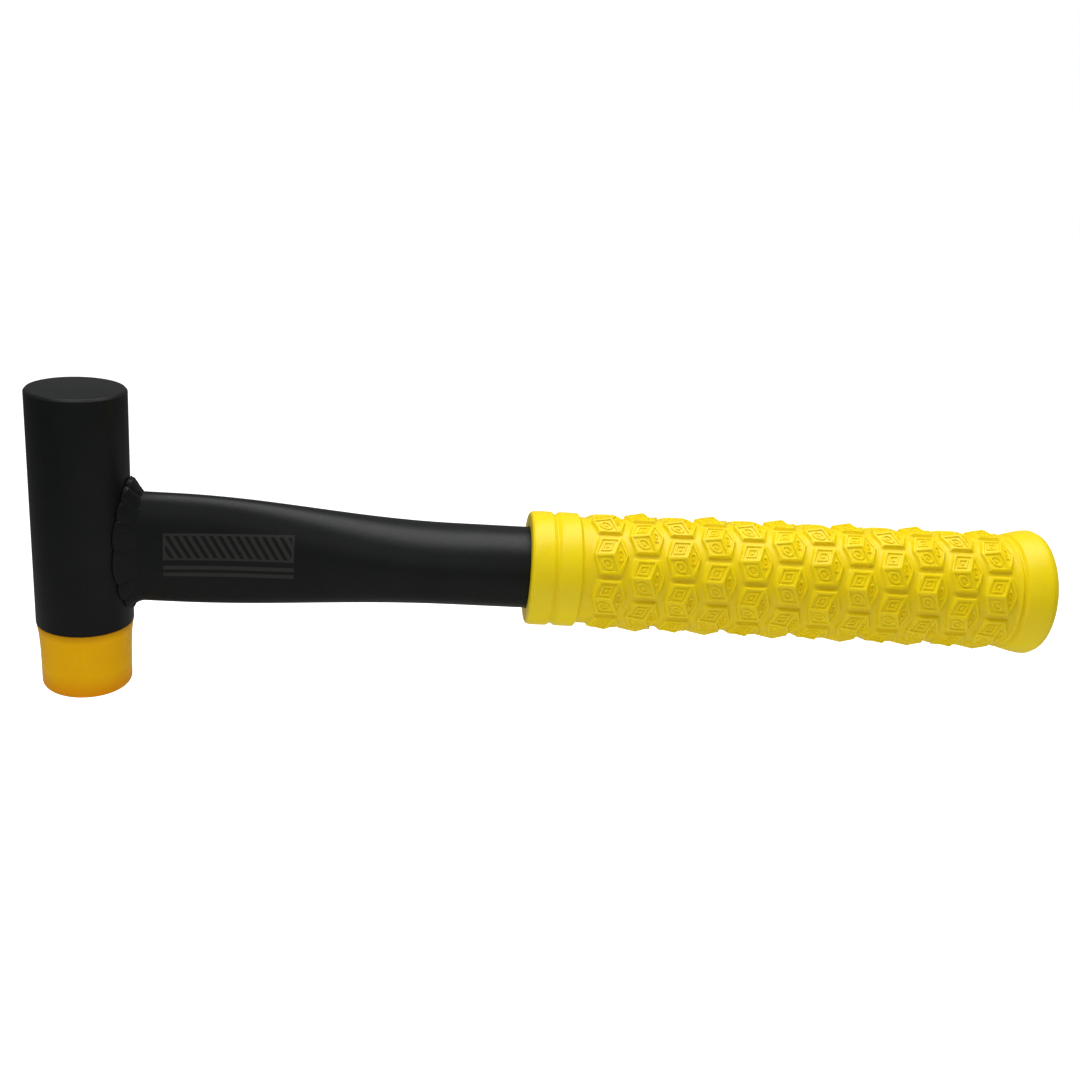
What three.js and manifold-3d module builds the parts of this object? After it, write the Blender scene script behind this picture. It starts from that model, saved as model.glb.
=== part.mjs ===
// Two-faced shop hammer: a steel bar head, a flattened tube handle welded to its side,
// a screw-in soft plastic tip and a moulded rubber grip.
// Millimetres. +Z runs up the head to the steel face, +X runs along the handle to the butt.
// The origin is the centre of the soft tip's striking face.
import * as THREE from 'three';
import { mergeVertices } from 'three/addons/utils/BufferGeometryUtils.js';
import Module from 'manifold-3d';

const wasm = await Module();
wasm.setup();

// ---- driving dimensions ----
const GAP = 0.3;

const HEAD_RADIUS = 14.28;
const HEAD_LENGTH = 72.65;
const HEAD_CHAMFER = 0.6;
const TIP_LENGTH = 21.4;
const HANDLE_ABOVE_JOINT = 24.04;

const JOINT_Z = TIP_LENGTH;
const HEAD_TOP_Z = JOINT_Z + HEAD_LENGTH;
const HANDLE_Z = JOINT_Z + HANDLE_ABOVE_JOINT;

const STUD_RADIUS = 5.9;
const STUD_REACH = 16;
const STUD_CHAMFER = 1;
const STUD_HEAD_FLATS = 17;
const STUD_HEAD_Z = 7.5;
const STUD_HEAD_HEIGHT = 5;
const SOCKET_RADIUS = STUD_RADIUS + 0.35;
const SOCKET_DEPTH = 21;
const DRILL_POINT = 3.6;

const WASHER_OUTER = 10.5;
const WASHER_THICKNESS = 2.5;
const WASHER_SPLIT = 0.16;
const COUNTERBORE_RADIUS = WASHER_OUTER + 0.4;
const COUNTERBORE_DEPTH = WASHER_THICKNESS + GAP;

const TIP_WAIST_RADIUS = 13.25;
const TIP_FLARE = 0.98;
const TIP_FLARE_LENGTH = 4.5;
const TIP_EDGE_RADIUS = 2;

const TUBE_RADIUS = 12.7;
const TUBE_WALL = 1.65;
const TUBE_END_X = 294.5;
const OVAL_HALF_HEIGHT = 17.45;
const OVAL_HALF_WIDTH = 6.31;
const OVAL_POWER = 2.2;
const OVAL_LIFT = 0.65;
const OVAL_TO_X = 28;
const ROUND_FROM_X = 112;

const COPE_START_X = 4;
const BEAD_START_X = 9;
const BEAD_SIDE_ROOT_X = 12.6;
const BEAD_SIDE_LEG = 3.2;
const BEAD_SIDE_REACH = 3.2;
const BEAD_TOP_LEG = 4.4;
const BEAD_SHARPNESS = 6;
const BEAD_MOST_FADE = 1.25;

const GRIP_START_X = 134.8;
const GRIP_END_X = 301;
const GRIP_END_WALL = 4.1;
const RING_RADIUS = 17.8;
const RING_EDGE = 1.2;
const RING_GROOVE_X = 142.7;
const RING_GROOVE_DEPTH = 0.8;
const RING_GROOVE_WIDTH = 2.4;
const RINGS_END_X = 149.6;
const FIELD_START_X = 151;
const FIELD_END_X = 286.5;
const FIELD_START_RADIUS = 16.6;
const FIELD_END_RADIUS = 17.4;
const NECK_RADIUS = 18.4;
const NECK_X = 289.3;
const FLARE_RADIUS = 20.1;
const FLARE_X = 297;
const SWELL_ALONG = 0.6;
const SWELL_OUT = 0.8;
const END_EDGE_RADIUS = 4;

const BOSS_COLUMNS = 12;
const BOSSES_ROUND = 8;
const BOSS_FIRST_X = 158.7;
const BOSS_PITCH_X = 11.22;
const BOSS_HALF_LENGTH = 5.1;
const BOSS_FLAT_HALF = 2.9;
const BOSS_HALF_ANGLE = 18.3;
const BOSS_PHASE = 15.3;
const BOSS_RIM_HEIGHT = 1.15;
const BOSS_PEAK_HEIGHT = 2.25;
const BOSS_PEAK_SHIFT = 0.7;
const BOSS_DRAFT = 0.35;
const BOSS_ROOT_DEPTH = 1.2;

const PLUG_LENGTH = 12;
const PLUG_FLANGE = 1.6;
const PLUG_LEAD_IN = 2;
const PLUG_LEAD_DEPTH = 1;

// ---- fineness of the round and bent shapes ----
const ROUND_SEGMENTS = 48;
const SLIM_SEGMENTS = 32;
const TUBE_SEGMENTS = 40;
const WASHER_SEGMENTS = 36;
const BEND_STEPS = 9;
const BEAD_STEPS = 6;
const WALL_STEPS = 7;
const EDGE_STEPS = 5;
const FRONT_EDGE_STEPS = 3;

// How far a shape runs past what it cuts, or into what it joins.
const OVERRUN = 1;
const LONG_OVERRUN = 10;

// ---- materials ----
function paint(color, roughness, metalness) {
  return new THREE.MeshStandardMaterial({ color, roughness, metalness });
}

const blackSteel = { color: 0x1b1d1e, roughness: 0.5, metalness: 0.5 };
const zincSteel = { color: 0xa9adb0, roughness: 0.35, metalness: 0.9 };
const amberPlastic = { color: 0xd29b08, roughness: 0.3, metalness: 0 };
const yellowRubber = { color: 0xe3cd12, roughness: 0.6, metalness: 0 };
const greyPlastic = { color: 0x55585b, roughness: 0.6, metalness: 0 };

// ---- solids: closed three.js geometry to manifold and back ----
function solid(geometry) {
  const bare = geometry.clone();
  bare.deleteAttribute('normal');
  bare.deleteAttribute('uv');
  const merged = mergeVertices(bare, 1e-4);
  const index = merged.index.array;
  const kept = [];
  for (let i = 0; i < index.length; i += 3) {
    const [a, b, c] = [index[i], index[i + 1], index[i + 2]];
    if (a !== b && b !== c && c !== a) {
      kept.push(a, b, c);
    }
  }
  return new wasm.Manifold(new wasm.Mesh({
    numProp: 3,
    vertProperties: new Float32Array(merged.attributes.position.array),
    triVerts: new Uint32Array(kept),
  }));
}

function geometryOf(manifold) {
  const mesh = manifold.getMesh();
  const geometry = new THREE.BufferGeometry();
  geometry.setAttribute('position', new THREE.BufferAttribute(mesh.vertProperties, 3));
  geometry.setIndex(new THREE.BufferAttribute(mesh.triVerts, 1));
  geometry.computeVertexNormals();
  return geometry;
}

const group = new THREE.Group();

function addPart(name, manifold, look) {
  const mesh = new THREE.Mesh(geometryOf(manifold), paint(look.color, look.roughness, look.metalness));
  mesh.name = name;
  group.add(mesh);
}

// ---- shape helpers ----
// A profile is a list of [radius, height] points from the bottom of the axis to its top.
function turned(profile, segments) {
  const points = profile.map(([radius, height]) => new THREE.Vector2(radius, height));
  return new THREE.LatheGeometry(points, segments);
}

function turnedAboutZ(profile, segments) {
  return solid(turned(profile, segments).rotateX(Math.PI / 2));
}

function turnedAboutHandle(profile, segments) {
  const geometry = turned(profile, segments).rotateZ(-Math.PI / 2);
  return solid(geometry.translate(0, 0, HANDLE_Z));
}

// Points on a quarter round of the given radius, from one angle to another.
function arcPoints(centreRadius, centreHeight, radius, from, to, steps) {
  return Array.from({ length: steps + 1 }, (_, i) => {
    const angle = from + ((to - from) * i) / steps;
    return [centreRadius + radius * Math.cos(angle), centreHeight + radius * Math.sin(angle)];
  });
}

// Joins closed rings of equal point count into a solid with flat ends.
function lofted(rings) {
  const count = rings[0].length;
  const positions = rings.flat().flatMap((p) => [p.x, p.y, p.z]);
  const index = [];
  for (let ring = 0; ring + 1 < rings.length; ring += 1) {
    for (let i = 0; i < count; i += 1) {
      const a = ring * count + i;
      const b = ring * count + ((i + 1) % count);
      index.push(a, b, b + count, a, b + count, a + count);
    }
  }
  const last = (rings.length - 1) * count;
  for (let i = 1; i + 1 < count; i += 1) {
    index.push(0, i + 1, i);
    index.push(last, last + i, last + i + 1);
  }
  const geometry = new THREE.BufferGeometry();
  geometry.setAttribute('position', new THREE.BufferAttribute(new Float32Array(positions), 3));
  geometry.setIndex(index);
  return solid(geometry);
}

function signedPower(value, power) {
  return Math.sign(value) * Math.abs(value) ** power;
}

// ---- handle outline ----
// 1 where the tube is fully flattened, 0 where it is still round.
function flattening(x) {
  const along = THREE.MathUtils.clamp((x - OVAL_TO_X) / (ROUND_FROM_X - OVAL_TO_X), 0, 1);
  return 0.5 + 0.5 * Math.cos(Math.PI * along);
}

// One section of the tube at x, grown outwards by an amount that may vary round the section.
function tubeRing(x, grow) {
  const flat = flattening(x);
  const halfHeight = THREE.MathUtils.lerp(TUBE_RADIUS, OVAL_HALF_HEIGHT, flat);
  const halfWidth = THREE.MathUtils.lerp(TUBE_RADIUS, OVAL_HALF_WIDTH, flat);
  const power = 2 / THREE.MathUtils.lerp(2, OVAL_POWER, flat);
  return Array.from({ length: TUBE_SEGMENTS }, (_, i) => {
    const angle = (2 * Math.PI * i) / TUBE_SEGMENTS;
    const across = signedPower(Math.cos(angle), power);
    const up = signedPower(Math.sin(angle), power);
    const extra = grow(angle);
    const y = (halfWidth + extra) * across;
    const z = (halfHeight + extra) * up + HANDLE_Z + OVAL_LIFT * flat;
    return new THREE.Vector3(x, y, z);
  });
}

function tubeBar(fromX, toX, grow) {
  const stations = [fromX, OVAL_TO_X];
  for (let i = 1; i <= BEND_STEPS; i += 1) {
    stations.push(OVAL_TO_X + ((ROUND_FROM_X - OVAL_TO_X) * i) / BEND_STEPS);
  }
  stations.push(toX);
  return lofted(stations.map((x) => tubeRing(x, () => grow)));
}

// The head's outer cylinder, used to cut the cope in the tube and the back of the bead.
const headClearance = turnedAboutZ([
  [0, JOINT_Z - LONG_OVERRUN],
  [HEAD_RADIUS + GAP, JOINT_Z - LONG_OVERRUN],
  [HEAD_RADIUS + GAP, HEAD_TOP_Z + LONG_OVERRUN],
  [0, HEAD_TOP_Z + LONG_OVERRUN],
], ROUND_SEGMENTS);

// ---- steel head with its tapped socket and washer seat ----
function headBody() {
  const seatZ = JOINT_Z + COUNTERBORE_DEPTH;
  const socketTop = JOINT_Z + SOCKET_DEPTH;
  return turnedAboutZ([
    [0, socketTop + DRILL_POINT],
    [SOCKET_RADIUS, socketTop],
    [SOCKET_RADIUS, seatZ],
    [COUNTERBORE_RADIUS, seatZ],
    [COUNTERBORE_RADIUS, JOINT_Z],
    [HEAD_RADIUS - GAP, JOINT_Z],
    [HEAD_RADIUS, JOINT_Z + GAP],
    [HEAD_RADIUS, HEAD_TOP_Z - HEAD_CHAMFER],
    [HEAD_RADIUS - HEAD_CHAMFER, HEAD_TOP_Z],
    [0, HEAD_TOP_Z],
  ], ROUND_SEGMENTS);
}

// ---- handle tube: round stock, pressed oval towards the head and coped to fit it ----
function handleTube() {
  const outside = tubeBar(COPE_START_X, TUBE_END_X, 0);
  const inside = tubeBar(COPE_START_X - OVERRUN, TUBE_END_X + OVERRUN, -TUBE_WALL);
  return outside.subtract(inside).subtract(headClearance);
}

// ---- fillet weld round the coped joint: longer legs above and below than at the sides ----
function weldBead() {
  const reach = HEAD_RADIUS + BEAD_TOP_LEG;
  const rings = Array.from({ length: BEAD_STEPS + 1 }, (_, i) => {
    const x = THREE.MathUtils.lerp(BEAD_START_X, reach, i / BEAD_STEPS);
    const leg = (angle) => {
      const upright = Math.abs(Math.sin(angle)) ** BEAD_SHARPNESS;
      const full = THREE.MathUtils.lerp(BEAD_SIDE_LEG, BEAD_TOP_LEG, upright);
      const toe = THREE.MathUtils.lerp(HEAD_RADIUS + BEAD_SIDE_REACH, reach, upright);
      const root = THREE.MathUtils.lerp(BEAD_SIDE_ROOT_X, HEAD_RADIUS, upright);
      const fade = THREE.MathUtils.clamp((toe - x) / (toe - root), 0, BEAD_MOST_FADE);
      return full * fade + GAP / 2;
    };
    return tubeRing(x, leg);
  });
  const clearance = tubeBar(COPE_START_X, ROUND_FROM_X + LONG_OVERRUN, GAP);
  return lofted(rings).subtract(clearance).subtract(headClearance);
}

// ---- soft tip, stud and lock washer ----
function hexBar(acrossFlats, fromZ, toZ) {
  const shape = new THREE.Shape();
  const corner = acrossFlats / Math.sqrt(3);
  for (let i = 0; i < 6; i += 1) {
    const angle = (Math.PI * i) / 3;
    if (i === 0) {
      shape.moveTo(corner * Math.cos(angle), corner * Math.sin(angle));
    } else {
      shape.lineTo(corner * Math.cos(angle), corner * Math.sin(angle));
    }
  }
  const geometry = new THREE.ExtrudeGeometry(shape, { depth: toZ - fromZ, bevelEnabled: false });
  return solid(geometry.translate(0, 0, fromZ));
}

function softTip() {
  const topZ = JOINT_Z - GAP;
  const wall = Array.from({ length: WALL_STEPS + 1 }, (_, i) => {
    const z = THREE.MathUtils.lerp(TIP_EDGE_RADIUS, topZ, i / WALL_STEPS);
    return [TIP_WAIST_RADIUS + TIP_FLARE * Math.exp((z - JOINT_Z) / TIP_FLARE_LENGTH), z];
  });
  const edgeCentre = wall[0][0] - TIP_EDGE_RADIUS;
  const edge = arcPoints(edgeCentre, TIP_EDGE_RADIUS, TIP_EDGE_RADIUS, -Math.PI / 2, 0, EDGE_STEPS);
  const outside = turnedAboutZ([[0, 0], ...edge, ...wall.slice(1), [0, topZ]], ROUND_SEGMENTS);
  const pocket = hexBar(
    STUD_HEAD_FLATS + 2 * GAP,
    STUD_HEAD_Z - GAP,
    STUD_HEAD_Z + STUD_HEAD_HEIGHT + GAP,
  );
  const passage = turnedAboutZ([
    [0, STUD_HEAD_Z],
    [STUD_RADIUS + GAP, STUD_HEAD_Z],
    [STUD_RADIUS + GAP, JOINT_Z + OVERRUN],
    [0, JOINT_Z + OVERRUN],
  ], SLIM_SEGMENTS);
  return outside.subtract(pocket.add(passage));
}

function tipStud() {
  const top = JOINT_Z + STUD_REACH;
  const shank = turnedAboutZ([
    [0, STUD_HEAD_Z + OVERRUN],
    [STUD_RADIUS, STUD_HEAD_Z + OVERRUN],
    [STUD_RADIUS, top - STUD_CHAMFER],
    [STUD_RADIUS - STUD_CHAMFER, top],
    [0, top],
  ], SLIM_SEGMENTS);
  return shank.add(hexBar(STUD_HEAD_FLATS, STUD_HEAD_Z, STUD_HEAD_Z + STUD_HEAD_HEIGHT));
}

function lockWasher() {
  const shape = new THREE.Shape();
  shape.absarc(0, 0, WASHER_OUTER, WASHER_SPLIT, 2 * Math.PI - WASHER_SPLIT, false);
  shape.absarc(0, 0, SOCKET_RADIUS, 2 * Math.PI - WASHER_SPLIT, WASHER_SPLIT, true);
  const geometry = new THREE.ExtrudeGeometry(shape, {
    depth: WASHER_THICKNESS,
    bevelEnabled: false,
    curveSegments: WASHER_SEGMENTS,
  });
  return solid(geometry.translate(0, 0, JOINT_Z));
}

// ---- grip ----
// Radius of the valley floor between the bosses.
function fieldRadius(x) {
  const along = (x - FIELD_START_X) / (FIELD_END_X - FIELD_START_X);
  return THREE.MathUtils.lerp(FIELD_START_RADIUS, FIELD_END_RADIUS, along);
}

function gripBody() {
  const half = Math.PI / 2;
  const boreRadius = TUBE_RADIUS + GAP;
  const frontEdge = arcPoints(
    RING_RADIUS - RING_EDGE,
    GRIP_START_X + RING_EDGE,
    RING_EDGE,
    -half,
    0,
    FRONT_EDGE_STEPS,
  );
  const endEdge = arcPoints(
    FLARE_RADIUS - END_EDGE_RADIUS,
    GRIP_END_X - END_EDGE_RADIUS,
    END_EDGE_RADIUS,
    0,
    half,
    EDGE_STEPS,
  );
  const swell = [
    THREE.MathUtils.lerp(NECK_RADIUS, FLARE_RADIUS, SWELL_OUT),
    THREE.MathUtils.lerp(NECK_X, FLARE_X, SWELL_ALONG),
  ];
  return turnedAboutHandle([
    [0, GRIP_END_X - GRIP_END_WALL],
    [boreRadius, GRIP_END_X - GRIP_END_WALL],
    [boreRadius, GRIP_START_X],
    ...frontEdge,
    [RING_RADIUS, RING_GROOVE_X - RING_GROOVE_WIDTH / 2],
    [RING_RADIUS - RING_GROOVE_DEPTH, RING_GROOVE_X],
    [RING_RADIUS, RING_GROOVE_X + RING_GROOVE_WIDTH / 2],
    [RING_RADIUS, RINGS_END_X - GAP],
    [FIELD_START_RADIUS, FIELD_START_X],
    [fieldRadius(FIELD_END_X), FIELD_END_X],
    [NECK_RADIUS, NECK_X],
    swell,
    ...endEdge,
    [0, GRIP_END_X],
  ], SLIM_SEGMENTS);
}

// A raised hexagon rounded to the grip, with its six top corners rising to one low peak.
function boss(x, degrees) {
  const floor = fieldRadius(x);
  const corners = [
    [-BOSS_HALF_LENGTH, 0],
    [-BOSS_FLAT_HALF, 1],
    [BOSS_FLAT_HALF, 1],
    [BOSS_HALF_LENGTH, 0],
    [BOSS_FLAT_HALF, -1],
    [-BOSS_FLAT_HALF, -1],
  ];
  const halfTurn = THREE.MathUtils.degToRad(BOSS_HALF_ANGLE);
  const middle = THREE.MathUtils.degToRad(degrees);
  const place = (along, round, radius) => {
    const angle = middle + round;
    return new THREE.Vector3(x + along, -radius * Math.cos(angle), HANDLE_Z + radius * Math.sin(angle));
  };
  const rim = corners.map(([along, side]) => place(along, side * halfTurn, floor + BOSS_RIM_HEIGHT));
  const spread = 1 + BOSS_DRAFT / BOSS_HALF_LENGTH;
  const root = corners.map(([along, side]) => (
    place(along * spread, side * halfTurn * spread, floor - BOSS_ROOT_DEPTH)
  ));
  const peak = place(BOSS_PEAK_SHIFT, 0, floor + BOSS_PEAK_HEIGHT);
  const base = place(0, 0, floor - BOSS_ROOT_DEPTH);
  const positions = [...rim, ...root, peak, base].flatMap((p) => [p.x, p.y, p.z]);
  const peakIndex = 12;
  const baseIndex = 13;
  const index = [];
  for (let i = 0; i < 6; i += 1) {
    const next = (i + 1) % 6;
    index.push(peakIndex, next, i);
    index.push(i, next, next + 6, i, next + 6, i + 6);
    index.push(baseIndex, i + 6, next + 6);
  }
  const geometry = new THREE.BufferGeometry();
  geometry.setAttribute('position', new THREE.BufferAttribute(new Float32Array(positions), 3));
  geometry.setIndex(index);
  return solid(geometry);
}

function gripSleeve() {
  const step = 360 / BOSSES_ROUND;
  let sleeve = gripBody();
  for (let column = 0; column < BOSS_COLUMNS; column += 1) {
    const stagger = column % 2 === 0 ? step / 2 : 0;
    for (let i = 0; i < BOSSES_ROUND; i += 1) {
      sleeve = sleeve.add(boss(BOSS_FIRST_X + column * BOSS_PITCH_X, BOSS_PHASE + stagger + i * step));
    }
  }
  return sleeve;
}

// ---- plug that closes the butt end of the tube ----
function tubeEndPlug() {
  const plugRadius = TUBE_RADIUS - TUBE_WALL - GAP;
  const flangeStart = TUBE_END_X + GAP;
  return turnedAboutHandle([
    [0, TUBE_END_X - PLUG_LENGTH],
    [plugRadius - PLUG_LEAD_DEPTH, TUBE_END_X - PLUG_LENGTH],
    [plugRadius, TUBE_END_X - PLUG_LENGTH + PLUG_LEAD_IN],
    [plugRadius, flangeStart],
    [TUBE_RADIUS, flangeStart],
    [TUBE_RADIUS, flangeStart + PLUG_FLANGE],
    [0, flangeStart + PLUG_FLANGE],
  ], SLIM_SEGMENTS);
}

addPart('head_body', headBody(), blackSteel);
addPart('handle_tube', handleTube(), blackSteel);
addPart('weld_bead', weldBead(), blackSteel);
addPart('soft_tip', softTip(), amberPlastic);
addPart('tip_stud', tipStud(), zincSteel);
addPart('lock_washer', lockWasher(), zincSteel);
addPart('grip_sleeve', gripSleeve(), yellowRubber);
addPart('tube_end_plug', tubeEndPlug(), greyPlastic);

export default group;
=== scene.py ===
"""Two-faced shop hammer: the looks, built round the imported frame.

Metres, in the frame's own axes: +Z runs up the head to the steel face, +X runs along the
handle to the butt, and the origin is the centre of the soft tip's striking face.
"""
import math

import bmesh
import bpy
import numpy as np
from mathutils import Matrix, Vector


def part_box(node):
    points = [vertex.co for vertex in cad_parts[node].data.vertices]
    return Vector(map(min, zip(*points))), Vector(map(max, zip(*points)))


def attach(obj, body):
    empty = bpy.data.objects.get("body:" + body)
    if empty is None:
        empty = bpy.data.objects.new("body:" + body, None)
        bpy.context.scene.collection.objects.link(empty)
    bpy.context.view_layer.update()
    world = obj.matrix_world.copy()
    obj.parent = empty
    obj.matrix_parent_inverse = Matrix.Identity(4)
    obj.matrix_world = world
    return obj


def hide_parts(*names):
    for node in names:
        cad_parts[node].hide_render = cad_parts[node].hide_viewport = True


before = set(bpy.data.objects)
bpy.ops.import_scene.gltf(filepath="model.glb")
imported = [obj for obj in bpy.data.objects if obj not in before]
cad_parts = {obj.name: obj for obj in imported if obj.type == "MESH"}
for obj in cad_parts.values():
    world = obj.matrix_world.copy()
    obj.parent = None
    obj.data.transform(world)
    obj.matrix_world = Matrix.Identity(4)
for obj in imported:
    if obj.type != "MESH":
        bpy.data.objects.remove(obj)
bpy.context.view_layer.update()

MM = 0.001

# ---- sizes taken from the frame ----
head_low, head_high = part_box("head_body")
tube_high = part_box("handle_tube")[1]
stud_low, stud_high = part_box("tip_stud")
washer_low, washer_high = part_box("lock_washer")
grip_low, grip_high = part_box("grip_sleeve")
plug_low, plug_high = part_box("tube_end_plug")

HEAD_RADIUS = head_high.x
JOINT_Z = head_low.z
HEAD_TOP_Z = head_high.z
HANDLE_Z = (grip_low.z + grip_high.z) / 2
TUBE_RADIUS = tube_high.y
TUBE_END_X = tube_high.x
GRIP_START_X = grip_low.x
GRIP_END_X = grip_high.x
FLARE_RADIUS = grip_high.y

# ---- how finely round things are drawn ----
ROUND_SEGMENTS = 144
SLIM_SEGMENTS = 96

# ---- handle tube: an oval near the head that turns into a round ----
TUBE_WALL = 1.65 * MM
OVAL_HALF_HEIGHT = 17.45 * MM
OVAL_HALF_WIDTH = 6.31 * MM
OVAL_POWER = 2.2
OVAL_LIFT = 0.65 * MM
OVAL_TO_X = 28 * MM
ROUND_FROM_X = 112 * MM
OVAL_STATIONS = (17 * MM, 22 * MM)
TUBE_BENDS = 30
UNDER_GRIP = 2 * MM
TUBE_LIP = 0.3 * MM
COPE_CLEARANCE = 0.02 * MM

# ---- etched panel on the near side of the tube ----
ETCH_X = 44.3 * MM
ETCH_Z = HANDLE_Z + 4.2 * MM
ETCH_TILT = 0.055
ETCH_HALF_LENGTH = 19.4 * MM
ETCH_HALF_HEIGHT = 4.2 * MM
ETCH_LINE = 0.7 * MM
ETCH_STRIPE = 2.6 * MM
ETCH_SLANT = 0.6
ETCH_STRIPE_SHARE = 0.5
ETCH_RULES = (6.6 * MM, 8.9 * MM)
ETCH_RULE_HALF = ETCH_LINE * 0.9

# ---- thread, shared by the stud and its socket ----
STUD_RADIUS = 5.9 * MM
THREAD_PITCH = 1.75 * MM
THREAD_DEPTH = 0.85 * MM
THREAD_FLANK = (0.12, 0.85)
THREAD_WALL_REACH = 0.02 * MM
STUD_STEP = THREAD_PITCH / 10
SOCKET_STEP = THREAD_PITCH / 9

# ---- socket and washer seat in the head ----
SOCKET_DEPTH = 21 * MM
SOCKET_CLEARANCE = 0.35 * MM
SOCKET_THREAD_SHARE = 0.8
DRILL_POINT = 3.6 * MM
SEAT_DEPTH = 2.8 * MM
SEAT_CLEARANCE = 0.4 * MM
FACE_CHAMFER_DROP = 0.75 * MM
FACE_CHAMFER_WIDTH = 0.6 * MM

# ---- weld round the coped joint ----
WELD_ROUND_STEPS = 480
WELD_ACROSS_STEPS = 18
WELD_BURIED = 0.15 * MM
# Leg lengths in millimetres: plain, then what the middle of a lap, the top and the bottom add.
WELD_HEAD_LEG = (2.35, 0.75, 1.2, -0.7)
WELD_TUBE_LEG = (4.7, 0.4, -0.9, -0.9)
WELD_TOP_POWER = 5
WELD_LAP_POWER = 0.5
# How far the face sags towards the root: plain, then what the top and the bottom add.
WELD_SAG = (0.55, -0.55, 0.1)
# How far a lap's middle stands out, in millimetres: plain, and what a fresh lap adds.
WELD_SWELL = (0.12, 0.38)
WELD_SWELL_START = 0.1
WELD_SWELL_POWER = 1.3
WELD_CROWN_POWER = 0.7
RIPPLE_SIZES = {"Ripple Pitch": 1.5 * MM, "Ripple Height": 0.06 * MM, "Unevenness": 0.5 * MM}
RIPPLE_BOW = 5.0
RIPPLE_WANDER = 2.6 * MM
RIPPLE_DRIFT = 1.4
RIPPLE_LEAN = 0.6

# Where each lap of the weld starts, in degrees round the tube from the far side, and how
# high it stands. The welder laid short laps over the top and long ones down the sides.
WELD_LAPS = (
    (-14, 0.7), (20, 0.8), (47, 1.0), (66, 1.35), (88, 1.2), (108, 1.5), (131, 1.1), (150, 1.3),
    (176, 0.8), (207, 1.0), (228, 0.7), (252, 0.9), (279, 0.8), (311, 0.9), (346, 0.7),
)

# The weld's lip on the head: (out past the toe, off the steel), in millimetres. It starts
# inside the steel and hangs over a narrow crevice.
WELD_LIP = ((-0.7, -0.2), (-0.45, 0.06), (0.1, 0.14), (0.24, 0.34), (0.12, 0.56), (-0.1, 0.66))

# ---- soft tip, stud and washer ----
TIP_WAIST_RADIUS = 13.25 * MM
TIP_FLARE = 0.98 * MM
TIP_FLARE_LENGTH = 4.5 * MM
TIP_EDGE = 2.1 * MM
TIP_TOP_EDGE = 0.3 * MM
TIP_GAP = 0.04 * MM
TIP_WALL_FROM_Z = 3 * MM
TIP_WALL_STEPS = 14
MOULDED_CLEARANCE = 0.3 * MM
STUD_HEAD_TOP_Z = stud_low.z + 5 * MM
STUD_CHAMFER = 1 * MM
WASHER_CLEARANCE = 0.35 * MM
WASHER_SPLIT = 0.16
WASHER_LIFT = 0.1 * MM
WASHER_SOFT = 0.25 * MM
WASHER_STEPS = 96

# ---- grip field: columns of cube bosses on a gently tapering valley floor ----
FIELD_START_X = 151 * MM
FIELD_END_X = 286.5 * MM
FIELD_START_RADIUS = 16.6 * MM
FIELD_END_RADIUS = 17.4 * MM
MEAN_FIELD_RADIUS = (FIELD_START_RADIUS + FIELD_END_RADIUS) / 2
BOSS_COLUMNS = 12
BOSSES_ROUND = 8
BOSS_FIRST_X = 158.7 * MM
BOSS_PITCH_X = 11.22 * MM
BOSS_PHASE = math.radians(15.3)
BOSS_HALF_LENGTH = 5.1 * MM
BOSS_FLAT_HALF = 2.9 * MM
BOSS_HALF_ANGLE = math.radians(18.3)
CELL_HALF_LENGTH = 5.95 * MM
CELL_FLAT_HALF = BOSS_PITCH_X - CELL_HALF_LENGTH
CELL_HALF_ANGLE = math.pi / BOSSES_ROUND
BOSS_RIM = 1.15 * MM
BOSS_PEAK = 2.25 * MM
PEAK_SHIFT = 0.7 * MM
EDGE_STEPS = 5
SAME_POINT = 0.004 * MM
GRIP_BORE_CLEARANCE = 0.06 * MM
GRIP_PLUG_GAP = 0.3 * MM
BUTT_DISH = 0.5 * MM

# Insets of a cube face, from its edge to its middle: (how, size, height). "frame" insets are
# fractions of the side, and "mark" insets are radii of a plain raised ring round a raised dot.
FACE_LOOPS = (
    ("frame", 0.0, 0.0),
    ("frame", 0.030, 0.05 * MM),
    ("frame", 0.085, 0.03 * MM),
    ("frame", 0.125, -0.36 * MM),
    ("mark", 0.335, -0.36 * MM),
    ("mark", 0.295, 0.0),
    ("mark", 0.215, 0.0),
    ("mark", 0.180, -0.36 * MM),
    ("mark", 0.120, -0.36 * MM),
    ("mark", 0.080, -0.02 * MM),
)

# Walls of a boss: share of the way from its top edge to the cell's edge, and height.
WALL_LOOPS = (
    (0.08, BOSS_RIM - 0.14 * MM),
    (0.28, 0.42 * MM),
    (0.40, 0.14 * MM),
    (0.62, 0.02 * MM),
    (1.0, 0.0),
)

# ---- plug in the tube's end ----
PLUG_FLANGE = 1.6 * MM
PLUG_BARBS = 4
PLUG_LEAD_IN = 1.5 * MM
PLUG_CORE_INSET = 0.7 * MM
PLUG_BARB_INSET = 0.1 * MM
BARB_SLOPE_SHARE = 0.8
BARB_BACK_SHARE = 0.86

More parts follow.
